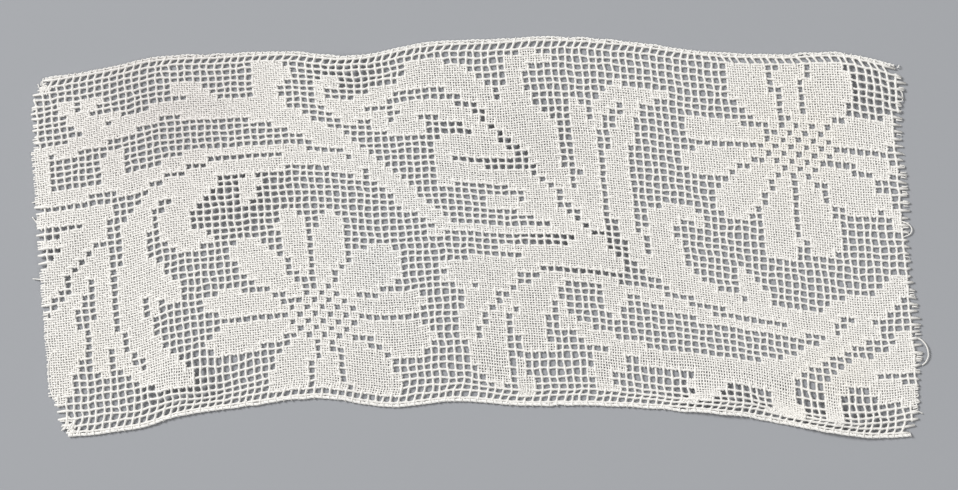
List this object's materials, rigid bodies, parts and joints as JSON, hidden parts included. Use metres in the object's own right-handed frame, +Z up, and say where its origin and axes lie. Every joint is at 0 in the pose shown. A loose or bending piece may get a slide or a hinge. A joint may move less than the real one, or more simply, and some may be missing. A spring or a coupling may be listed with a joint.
{
  "type": "filet lace border piece",
  "caption": "Flat cut length of square net lace with a darned flower and leaf scroll, corded long edges and raw short ends.",
  "frame": {"origin": "on the surface that the lace lies on, under the middle of its box", "axes": "+X along the lace's length towards the right-hand raw end, +Y towards the upper corded edge, +Z up out of the lace's face"},
  "size_m": [0.3036, 0.1372, 0.0035],
  "materials": {
    "lace_thread": "matt off-white linen thread, knotted net and cloth stitch",
    "edge_thread": "matt off-white thread, overcast over a core"
  },
  "bodies": {
    "root": {"lace_ground": "lace_thread", "upper_edge_cord": "edge_thread", "lower_edge_cord": "edge_thread"}
  },
  "joints": []
}
